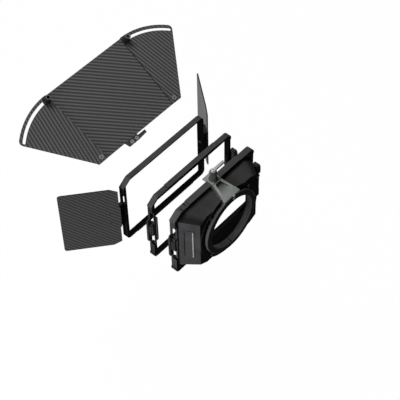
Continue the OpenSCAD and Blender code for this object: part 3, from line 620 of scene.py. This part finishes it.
def twill_finish(name, across, up, stripe, level):
    """Carbon twill whose stripes run at an angle in the sheet, with painted sheen and shade, drawn at a level
    of brightness set for each sheet
    """
    material, shader, add, link = new_material(name)
    place = add("ShaderNodeTexCoord")

    def along(direction):
        dot = add("ShaderNodeVectorMath", operation="DOT_PRODUCT")
        link(place.outputs["Object"], dot.inputs[0])
        dot.inputs[1].default_value = direction / TOW
        return dot.outputs["Value"]

    def calc(operation, *inputs):
        return math_node(add, link, operation, *inputs)

    x = along(in_sheet(across, up, stripe - 45))
    y = along(in_sheet(across, up, stripe + 45))
    column, row = calc("FLOOR", x), calc("FLOOR", y)
    step = calc("FLOORED_MODULO", calc("SUBTRACT", column, row), 4)
    warp_shows = calc("LESS_THAN", step, 1.5)

    def crown(tow, run):
        """Height of one tow: round across its width, and dipping where it goes under"""
        side = calc("MULTIPLY", calc("SUBTRACT", calc("FRACT", tow), 0.5), 2)
        flat = calc("SUBTRACT", 1, calc("POWER", calc("ABSOLUTE", side), 2.5))
        dip = calc("SUBTRACT", 1, calc("POWER", calc("ABSOLUTE", run), 4))
        return calc("MULTIPLY", flat, dip)

    warp_run = calc("SUBTRACT", calc("FLOORED_MODULO", calc("ADD", calc("SUBTRACT", column, y), 1), 4), 1)
    weft_run = calc("SUBTRACT", calc("FLOORED_MODULO", calc("SUBTRACT", x, row), 4), 3)
    warp, weft = crown(x, warp_run), crown(y, weft_run)
    height = calc("ADD", calc("MULTIPLY", warp, warp_shows),
                  calc("MULTIPLY", weft, calc("SUBTRACT", 1, warp_shows)))
    fibres = grain(add, link, 0.0006, 2)
    low, high = WEFT_SHEEN_LEVEL * level, WARP_SHEEN_LEVEL * level
    cloth = blend_colour(add, link, warp_shows, (low, low, low), (high, high, high * 1.015))
    # Painted shade: each tow drawn darker down its sides and where it dips under the next
    shade = spread(add, link, height, 0.0, 0.5, 0.72, 1.0)
    shade = calc("MULTIPLY", shade, spread(add, link, fibres, 0.3, 0.7, 0.9, 1.1))
    toned = add("ShaderNodeVectorMath", operation="SCALE")
    link(cloth, toned.inputs[0])
    link(shade, toned.inputs["Scale"])
    square = across.cross(up).normalized()
    cut = spread(add, link, facing(add, link, square), 0.985, 0.9)
    link(blend_colour(add, link, cut, toned.outputs[0], (0.008, 0.008, 0.008)), shader.inputs["Base Color"])
    link(spread(add, link, warp_shows, 0, 1, 0.5, 0.4), shader.inputs["Roughness"])
    shader.inputs["Specular IOR Level"].default_value = 0.1
    surface_bump(add, link, shader, height, 0.00008, 0.6)
    return material


def side_flag_axes(side, swing):
    """The two directions in a side flag, which swings out from straight ahead by an angle"""
    turn = math.radians(swing)
    return Vector((side * math.sin(turn), -math.cos(turn), 0)), Vector((0, 0, 1))


# Painted shade: the last number is each sheet's level of brightness, lower on the upright side flags
SHEETS = {
    "flag_panel": (flag_across, flag_up, 41, 1.0),
    "wing_left": (flag_across, flag_up, 101, 1.0),
    "wing_right": (flag_across, flag_up, 78.5, 1.0),
    "side_flag_left": (*side_flag_axes(1, 50), 40.5, 0.68),
    "side_flag_right": (*side_flag_axes(-1, 39), 40.5, 0.72),
}
for name, (across, up, stripe, level) in SHEETS.items():
    dress(name, twill_finish("carbon twill " + name.replace("_", " "), across, up, stripe, level), 0.00018)


# Foot of the top flag
# Milled from the same black anodised aluminium as the frames, and screwed under the panel's rear edge. Its
# tongue goes into the open pocket of the holder.

foot_finish = blasted_finish("black anodised foot", ANODISED_BLACK, WORN_EDGE, roughness=0.48)
dress("flag_foot", foot_finish, FRAME_EDGE)


# Studio
# A pale floor well below the hanging parts, a large soft lamp above and in front, and one on the left. The
# world gives little light, so that the faces turned away from both lamps stay dark.

FLOOR_Z = -0.32
FLOOR_HALF = 20
FLOOR_BOUNCE = (0.12, 0.12, 0.12)
FLOOR_SEEN = (0.9, 0.9, 0.9)
FLOOR_WHITE = 0.98
floor_mesh = bpy.data.meshes.new("floor")
corners = [(x * FLOOR_HALF, y * FLOOR_HALF, FLOOR_Z) for x, y in ((-1, -1), (1, -1), (1, 1), (-1, 1))]
floor_mesh.from_pydata(corners, [], [(0, 1, 2, 3)])
floor = bpy.data.objects.new("floor", floor_mesh)
bpy.context.scene.collection.objects.link(floor)
floor_material, floor_shader, add, link = new_material("pale floor")
floor_shader.inputs["Roughness"].default_value = 0.9
floor_shader.inputs["Specular IOR Level"].default_value = 0


def seen_directly(add, link):
    """1 where the camera sees a surface, straight or through gloss or glass, and 0 for the light it gives"""
    path = add("ShaderNodeLightPath")
    either = math_node(add, link, "MAXIMUM", path.outputs["Is Camera Ray"], path.outputs["Is Glossy Ray"])
    return math_node(add, link, "MAXIMUM", either, path.outputs["Is Transmission Ray"])


path = add("ShaderNodeLightPath")
link(blend_colour(add, link, path.outputs["Is Camera Ray"], FLOOR_BOUNCE, FLOOR_SEEN),
     floor_shader.inputs["Base Color"])
white = add("ShaderNodeEmission")
white.inputs["Strength"].default_value = 1
mixed = add("ShaderNodeMixShader")
link(math_node(add, link, "MULTIPLY", seen_directly(add, link), FLOOR_WHITE), mixed.inputs["Fac"])
link(floor_shader.outputs[0], mixed.inputs[1])
link(white.outputs[0], mixed.inputs[2])
link(mixed.outputs[0], floor_material.node_tree.nodes["Material Output"].inputs["Surface"])
floor.data.materials.append(floor_material)

WORLD_LIGHT = 0.03
world = bpy.data.worlds.new("studio")
bpy.context.scene.world = world
world.use_nodes = True
add, link = node_tools(world.node_tree)
background = world.node_tree.nodes["Background"]
link(spread(add, link, seen_directly(add, link), 0, 1, WORLD_LIGHT, 1.0), background.inputs["Strength"])
background.inputs["Color"].default_value = (1, 1, 1, 1)

middle = (cad_box[0] + cad_box[1]) / 2


def soft_lamp(name, direction, distance, size, level):
    """A square lamp that gives about level times a plain daylight on a surface that faces it"""
    lamp = bpy.data.lights.new(name, "AREA")
    lamp.shape = "SQUARE"
    lamp.size = size
    direction = Vector(direction).normalized()
    lamp.energy = level * math.pi * math.pi * distance ** 2
    holder = bpy.data.objects.new(name, lamp)
    holder.location = middle + direction * distance
    holder.rotation_euler = direction.to_track_quat("Z", "Y").to_euler()
    bpy.context.scene.collection.objects.link(holder)


soft_lamp("lamp above", (0.05, -0.35, 1), distance=2.2, size=1.1, level=0.95)
soft_lamp("lamp left", (1, 0.02, 0.15), distance=2.2, size=0.9, level=0.95)


# Camera
# Stands behind and above on the operator's left, where the photograph was taken. Its place and turn were
# fitted to the edges of the three frames.

camera = bpy.data.cameras.new("camera")
camera.sensor_width = 36
camera.lens = 114.2176
camera.shift_x = -0.002987
camera.shift_y = -0.00643
camera.clip_start = 0.05
camera.clip_end = 60
holder = bpy.data.objects.new("camera", camera)
bpy.context.scene.collection.objects.link(holder)
right = Vector((-0.65503, 0.75547, -0.0142))
down = Vector((0.58447, 0.49468, -0.64319))
ahead = Vector((-0.47889, -0.42961, -0.76557))
place = Matrix((right, -down, -ahead)).transposed().to_4x4()
place.translation = (0.7908, 0.65653, 1.27285)
holder.matrix_world = place
bpy.context.scene.camera = holder
bpy.context.scene.view_settings.view_transform = "Standard"
